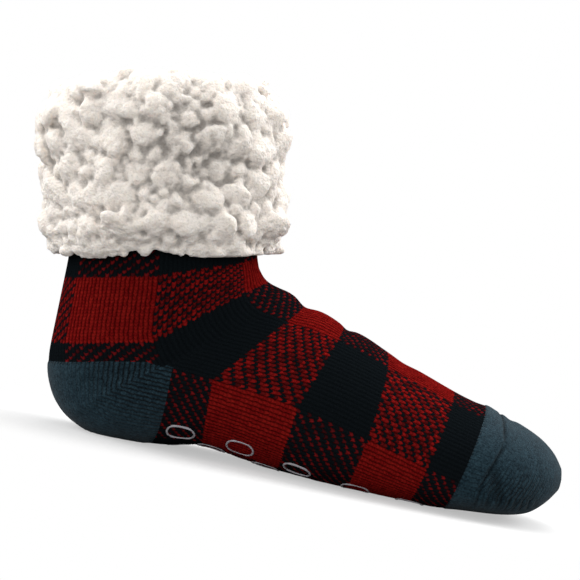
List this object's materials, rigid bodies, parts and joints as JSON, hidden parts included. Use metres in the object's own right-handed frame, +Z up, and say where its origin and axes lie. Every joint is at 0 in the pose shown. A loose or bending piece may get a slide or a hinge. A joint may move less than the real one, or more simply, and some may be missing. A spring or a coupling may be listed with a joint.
{
  "type": "slipper sock",
  "caption": "Knitted slipper sock in red and black check with plain heel and toe, a deep curly fleece cuff and rubber grips on the sole.",
  "frame": {"origin": "the middle of the heel's flat rest on the floor", "axes": "+X from heel to toe, +Y to one side, +Z up"},
  "size_m": [0.2826, 0.1085, 0.1846],
  "materials": {
    "knit": "ribbed knit in red and black check, blue-grey heel and toe",
    "fleece": "deep off-white curly pile",
    "grip": "thin satin print"
  },
  "bodies": {
    "root": {"knit_sock": "knit", "sherpa_cuff": "fleece", "grip_01_1": "grip", "grip_01_2": "grip", "grip_01_3": "grip", "grip_02_1": "grip", "grip_02_2": "grip", "grip_03_1": "grip", "grip_03_2": "grip", "grip_03_3": "grip", "grip_04_1": "grip", "grip_04_2": "grip", "grip_05_1": "grip", "grip_05_2": "grip", "grip_05_3": "grip", "grip_06_1": "grip", "grip_06_2": "grip", "grip_07_1": "grip", "grip_07_2": "grip", "grip_07_3": "grip", "grip_08_1": "grip", "grip_08_2": "grip", "grip_09_1": "grip", "grip_09_2": "grip", "grip_09_3": "grip"}
  },
  "joints": []
}
